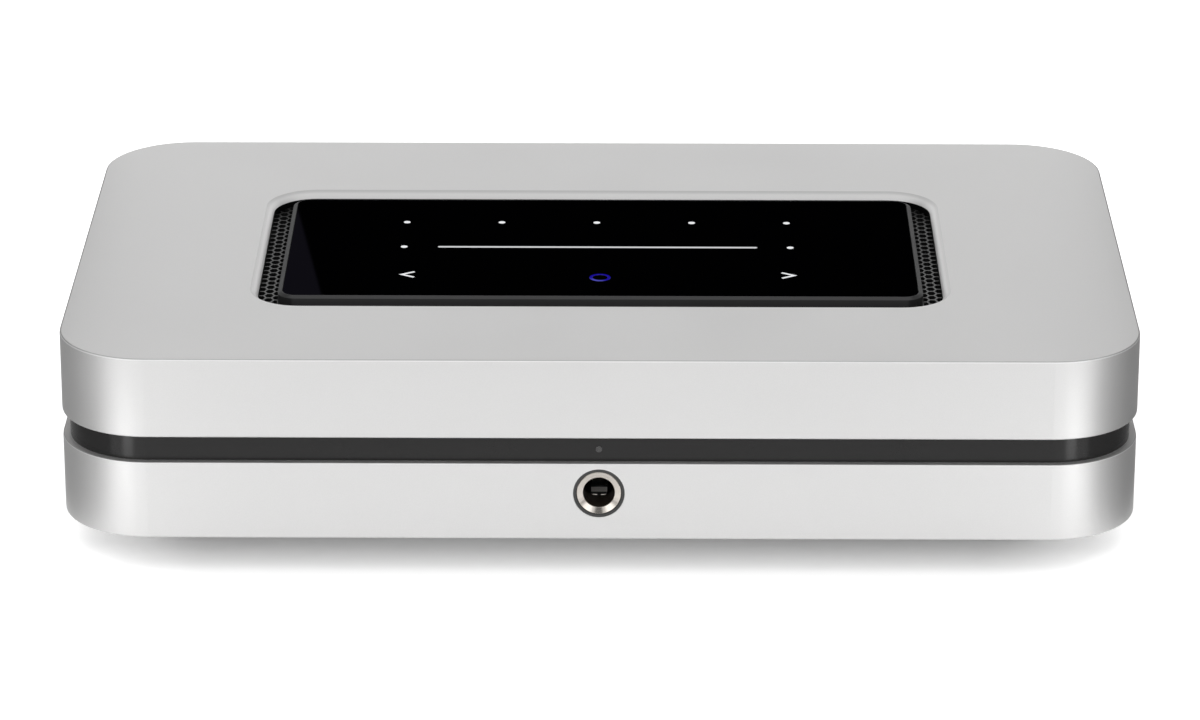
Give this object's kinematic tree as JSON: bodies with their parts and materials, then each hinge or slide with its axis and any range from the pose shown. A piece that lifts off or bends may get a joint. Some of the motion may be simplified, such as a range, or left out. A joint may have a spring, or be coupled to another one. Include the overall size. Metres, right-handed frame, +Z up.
{
  "type": "network music streamer",
  "caption": "Low rounded box of metal shells round a dark band, with a sunk touch panel on top, a headphone socket in front and a connector panel behind.",
  "frame": {"origin": "on the table under the middle of the object, sockets behind included", "axes": "+X to the right seen from the front, +Y to the back, +Z up"},
  "size_m": [0.22, 0.146, 0.046],
  "materials": {
    "shell_aluminium": "fine blasted and anodised, satin",
    "band_plastic": "satin moulded",
    "base_plastic": "fine moulded texture",
    "foot_rubber": "matte",
    "rear_plastic": "fine moulded texture",
    "black_screw": "black oxide",
    "zinc_screw": "zinc plated",
    "panel_glass": "black printed behind, polished",
    "bezel_paint": "satin dark grey",
    "light_guide_clear": "frosted clear",
    "led_resin": "phosphor resin",
    "board_green": "solder mask",
    "board_tan": "bare laminate",
    "mesh_black": "satin dark grey",
    "ribbon_film": "polyester film",
    "lens_smoke": "smoked",
    "socket_black": "moulded",
    "nickel": "polished nickel",
    "trim_dark": "satin",
    "spring_metal": "tinned bronze",
    "connector_ivory": "moulded",
    "chip_black": "moulded",
    "heatsink_black": "anodised",
    "shield_tin": "tinned",
    "capacitor_sleeve": "shrink sleeve",
    "antenna_film": "film",
    "cable_black": "jacket",
    "transformer_tape": "wound tape",
    "choke_copper": "enamelled wire",
    "fuse_ceramic": "ceramic body",
    "wire_red": "insulation",
    "pin_metal": "nickel plated",
    "contact_gold": "thin gold plating",
    "insulator_white": "moulded",
    "insulator_red": "moulded",
    "insulator_black": "moulded",
    "shutter_black": "moulded"
  },
  "bodies": {
    "case": {"top_shell": "shell_aluminium", "bottom_shell": "shell_aluminium", "waist_band": "band_plastic", "base_plate": "base_plastic", "panel_deck": "base_plastic", "rubber_feet": "foot_rubber", "rear_panel": "rear_plastic", "case_screws": "black_screw", "rear_panel_screws": "black_screw", "board_screws": "zinc_screw", "touch_glass": "panel_glass", "touch_bezel": "bezel_paint", "light_guide": "light_guide_clear", "touch_leds": "led_resin", "status_led": "led_resin", "touch_board": "board_green", "front_board": "board_green", "main_board": "board_green", "psu_board": "board_tan", "vent_mesh_left": "mesh_black", "vent_mesh_right": "mesh_black", "touch_ribbon": "ribbon_film", "front_ribbon": "ribbon_film", "status_lens": "lens_smoke", "ir_receiver": "socket_black", "jack_housing": "socket_black", "mains_inlet": "socket_black", "phono_housings": "socket_black", "optical_socket": "socket_black", "socket_tongues": "socket_black", "lan_socket": "socket_black", "mini_sockets": "socket_black", "jack_bushing": "nickel", "jack_trim_ring": "trim_dark", "board_connectors": "connector_ivory", "processor_chip": "chip_black", "main_board_chips": "chip_black", "processor_heatsink": "heatsink_black", "wireless_module": "shield_tin", "hdmi_socket": "shield_tin", "usb_socket": "shield_tin", "main_board_capacitors": "capacitor_sleeve", "psu_capacitors": "capacitor_sleeve", "antennas": "antenna_film", "antenna_leads": "cable_black", "psu_transformer": "transformer_tape", "mains_choke": "choke_copper", "mains_fuse": "fuse_ceramic", "dc_harness": "wire_red", "mains_inlet_pins": "pin_metal", "phono_barrels": "contact_gold", "phono_contacts": "contact_gold", "lan_contacts": "contact_gold", "phono_insulator_left": "insulator_white", "phono_insulator_right": "insulator_red", "phono_insulators_dark": "insulator_black"},
    "shutter": {"optical_shutter": "shutter_black"},
    "sleeve_contact": {"jack_sleeve_spring": "spring_metal"},
    "tip_contact": {"jack_tip_spring": "spring_metal"},
    "ring_contact": {"jack_ring_spring": "spring_metal"}
  },
  "joints": [
    {"name": "shutter_swing", "type": "hinge", "parent": "case", "child": "shutter", "pos_m": [0.02471, 0.0598, 0.0249], "axis": [-1, 0, 0], "range_deg": [0, 80], "stiffness_Nm_per_rad": 0.0001, "springref_deg": -28.65},
    {"name": "sleeve_contact_flex", "type": "hinge", "parent": "case", "child": "sleeve_contact", "pos_m": [0, -0.05255, 0.0119], "axis": [1, 0, 0], "range_deg": [0, 7], "stiffness_Nm_per_rad": 0.1, "springref_deg": -2.86},
    {"name": "tip_contact_flex", "type": "hinge", "parent": "case", "child": "tip_contact", "pos_m": [0, -0.05835, 0.0226], "axis": [1, 0, 0], "range_deg": [0, 10], "stiffness_Nm_per_rad": 0.1, "springref_deg": -2.86},
    {"name": "ring_contact_flex", "type": "hinge", "parent": "case", "child": "ring_contact", "pos_m": [0.00455, -0.04875, 0.01725], "axis": [0, 0, 1], "range_deg": [0, 11], "stiffness_Nm_per_rad": 0.1, "springref_deg": -2.86}
  ]
}
